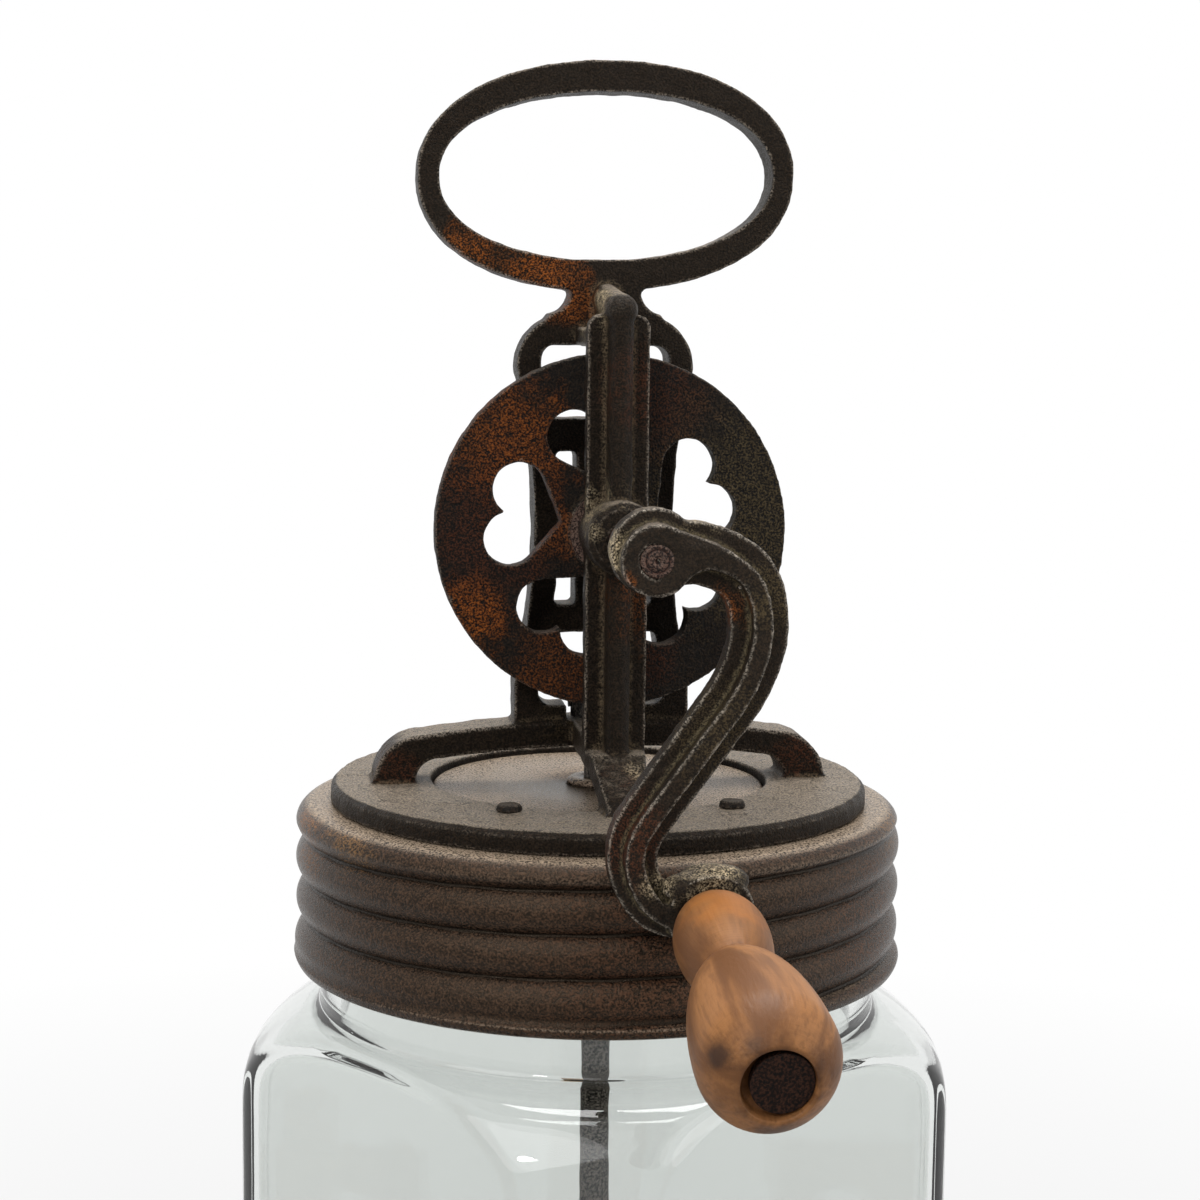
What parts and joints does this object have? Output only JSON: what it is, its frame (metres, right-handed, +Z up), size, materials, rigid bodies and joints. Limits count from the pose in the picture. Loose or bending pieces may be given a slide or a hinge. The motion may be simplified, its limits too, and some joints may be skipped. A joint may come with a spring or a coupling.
{
  "type": "glass jar butter churn",
  "caption": "Square glass jar with a ribbed screw cap carrying a cast iron gear head: a crank turns a heart-pierced wheel, pinion and wooden dasher; oval carrying loop on top.",
  "frame": {"origin": "middle of the jar's foot, on the table", "axes": "+Z up along the spindle, the crank and its wheel on the -Y side, +X to the right seen from the crank"},
  "size_m": [0.1668, 0.2347, 0.3726],
  "materials": {
    "glass": "clear pressed glass, faintly green, polished by use",
    "seal_rubber": "matt red-brown rubber",
    "tinned_sheet": "tinned sheet gone dark brown, a dull sheen on the ribs",
    "rivet_steel": "dark rusted steel",
    "shaft_steel": "dark steel with a red-brown skin",
    "cast_iron": "rough sand cast iron, near black, with dust and rust",
    "rusty_iron": "rough sand cast iron with orange-brown rust",
    "turned_wood": "turned hardwood, worn, satin, stained by use",
    "board_wood": "pale bare hardwood, matt"
  },
  "bodies": {
    "jar": {"glass_jar": "glass"},
    "seal": {"lid_seal": "seal_rubber"},
    "lid": {"screw_cap": "tinned_sheet", "cap_rivets": "rivet_steel", "spindle_bush": "shaft_steel", "base_ring": "cast_iron", "bridge_legs": "cast_iron", "rear_frame": "cast_iron", "front_post": "cast_iron", "carry_loop": "cast_iron"},
    "crank": {"crank_shaft": "shaft_steel", "drive_wheel": "rusty_iron", "wheel_pin": "rivet_steel", "thrust_washer": "rivet_steel", "rear_collar": "cast_iron", "rear_collar_pin": "rivet_steel", "crank_arm": "cast_iron", "grip_rod": "shaft_steel"},
    "grip": {"wooden_grip": "turned_wood"},
    "dasher": {"spindle": "shaft_steel", "pinion": "cast_iron", "pinion_pin": "rivet_steel", "dasher_socket": "cast_iron", "dasher_pin": "rivet_steel", "dasher_board_long": "board_wood", "dasher_board_cross": "board_wood", "dasher_nut": "rivet_steel"}
  },
  "joints": [
    {"name": "lid_lift", "type": "slide", "parent": "jar", "child": "seal", "axis": [0, 0, 1], "range_m": [0, 0.01463]},
    {"name": "lid_turn", "type": "hinge", "parent": "seal", "child": "lid", "pos_m": [0, 0, 0.2], "axis": [0, 0, 1], "range_deg": [0, 560]},
    {"name": "crank_turn", "type": "hinge", "parent": "lid", "child": "crank", "pos_m": [0, 0, 0.2682], "axis": [0, 1, 0], "continuous": true},
    {"name": "dasher_spin", "type": "hinge", "parent": "lid", "child": "dasher", "pos_m": [0, 0, 0.2], "axis": [0, 0, 1], "continuous": true},
    {"name": "grip_spin", "type": "hinge", "parent": "crank", "child": "grip", "pos_m": [0.012, -0.0815, 0.1962], "axis": [0, -0.9848, -0.1736], "continuous": true}
  ],
  "couplings": [
    {"joint": "lid_lift", "follows": "lid_turn", "m_per_rad": 0.0014961},
    {"joint": "dasher_spin", "follows": "crank_turn", "ratio": -4}
  ]
}
